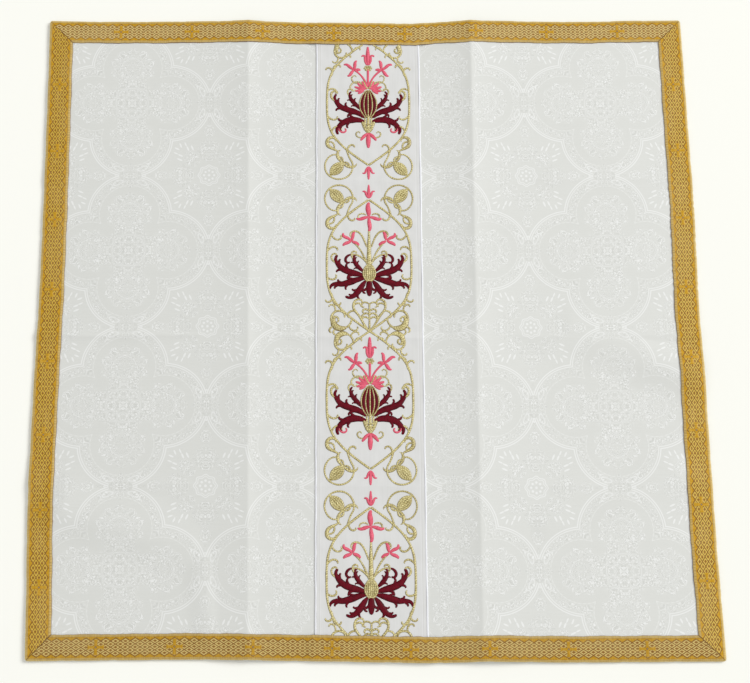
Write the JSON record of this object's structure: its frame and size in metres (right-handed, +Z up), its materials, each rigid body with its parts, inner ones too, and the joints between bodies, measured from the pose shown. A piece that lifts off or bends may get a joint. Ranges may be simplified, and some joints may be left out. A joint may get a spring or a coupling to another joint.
{
  "type": "chalice veil",
  "caption": "Square damask cloth with an embroidered satin centre band, corded band edgings and a gold galloon border, lying open with its storage folds.",
  "frame": {"origin": "on the underside, at the middle of the square that the cloth was cut to", "axes": "+Z up out of the laid cloth, +Y along the centre band towards the cloth's top edge, +X to its right-hand edge"},
  "size_m": [0.555, 0.5515, 0.0069],
  "materials": {
    "damask": "white silk damask, tone on tone, soft sheen",
    "satin": "white satin ground under silk and gilt-coloured thread embroidery",
    "edging_cord": "white silk cord, couched",
    "galloon": "woven gold-coloured braid with lozenges and crosses, low lustre",
    "thread_gold": "pale gold embroidery thread",
    "thread_burgundy": "burgundy silk embroidery thread",
    "thread_pink": "pink silk embroidery thread"
  },
  "bodies": {
    "root": {"ground_cloth": "damask", "centre_band": "satin", "band_edging_left": "edging_cord", "band_edging_right": "edging_cord", "galloon_top": "galloon", "galloon_bottom": "galloon", "galloon_left": "galloon", "galloon_right": "galloon"}
  },
  "joints": []
}
